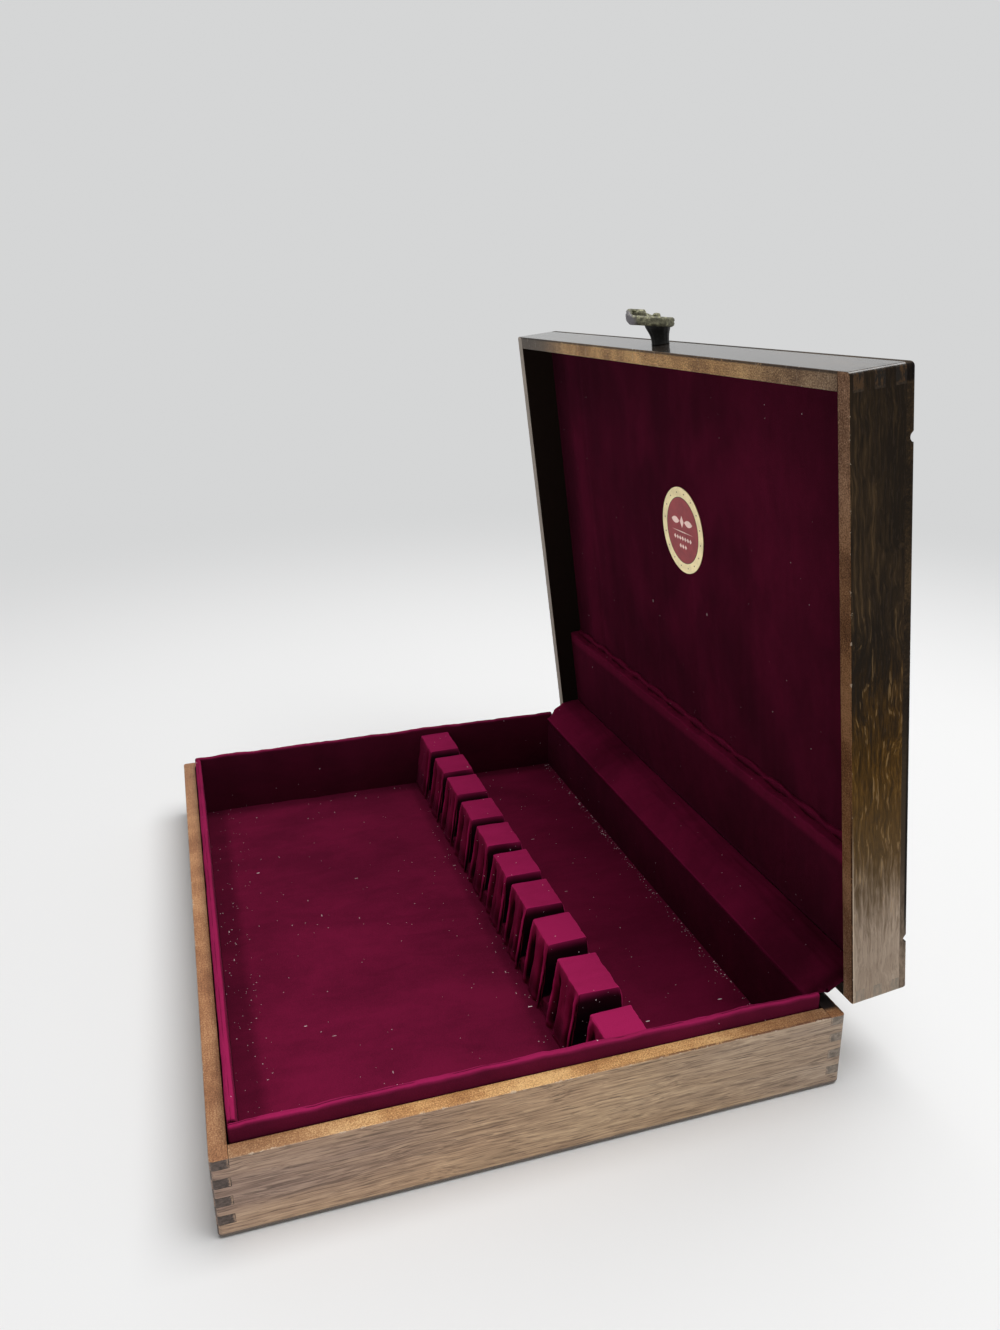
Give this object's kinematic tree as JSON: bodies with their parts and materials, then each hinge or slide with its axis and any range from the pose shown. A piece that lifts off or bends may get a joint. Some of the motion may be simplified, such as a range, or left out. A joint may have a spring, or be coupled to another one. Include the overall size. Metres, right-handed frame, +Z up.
{
  "type": "hinged knife and flatware box",
  "caption": "Finger-jointed walnut flatware box with a hinged lid, burgundy velvet linings, a slotted flatware rack in the base, a knife rack in the lid and a cast brass pull.",
  "frame": {"origin": "middle of the underside of the base", "axes": "+X to the right-hand end along the box's length, -Y to the front where the pull is, +Y to the hinges, +Z up; the lid stands open at rest"},
  "size_m": [0.38, 0.3115, 0.338],
  "materials": {
    "walnut_case": "satin oiled walnut, worn at the edges",
    "bottom_board": "thin unfinished board",
    "burgundy_velvet": "short-pile velvet over card",
    "label_paper": "gilt and brown printed paper",
    "aged_brass": "cast brass with dark patina",
    "hinge_brass": "plated sheet, dulled",
    "steel_fasteners": "plain steel"
  },
  "bodies": {
    "base": {"base_front_wall": "walnut_case", "base_back_wall": "walnut_case", "base_left_wall": "walnut_case", "base_right_wall": "walnut_case", "base_bottom_panel": "bottom_board", "bottom_panel_brads": "steel_fasteners", "front_liner": "burgundy_velvet", "back_liner": "burgundy_velvet", "left_liner": "burgundy_velvet", "right_liner": "burgundy_velvet", "floor_board": "burgundy_velvet", "flatware_rack": "burgundy_velvet", "hinge_cloth": "burgundy_velvet", "left_hinge_base_leaf": "hinge_brass", "right_hinge_base_leaf": "hinge_brass", "left_hinge_pin": "hinge_brass", "right_hinge_pin": "hinge_brass", "hinge_base_screws": "hinge_brass"},
    "lid": {"lid_front_wall": "walnut_case", "lid_back_wall": "walnut_case", "lid_left_wall": "walnut_case", "lid_right_wall": "walnut_case", "lid_top_panel": "walnut_case", "lid_lining_board": "burgundy_velvet", "lining_label": "label_paper", "knife_rack_front": "burgundy_velvet", "knife_rack_spacers": "burgundy_velvet", "left_hinge_lid_leaf": "hinge_brass", "right_hinge_lid_leaf": "hinge_brass", "hinge_lid_screws": "hinge_brass", "lid_pull": "aged_brass", "pull_screw": "steel_fasteners"}
  },
  "joints": [
    {"name": "lid_hinge", "type": "hinge", "parent": "base", "child": "lid", "pos_m": [0, 0.14375, 0.03835], "axis": [1, 0, 0], "range_deg": [0, 83.3], "deforming": ["hinge_cloth"]}
  ]
}
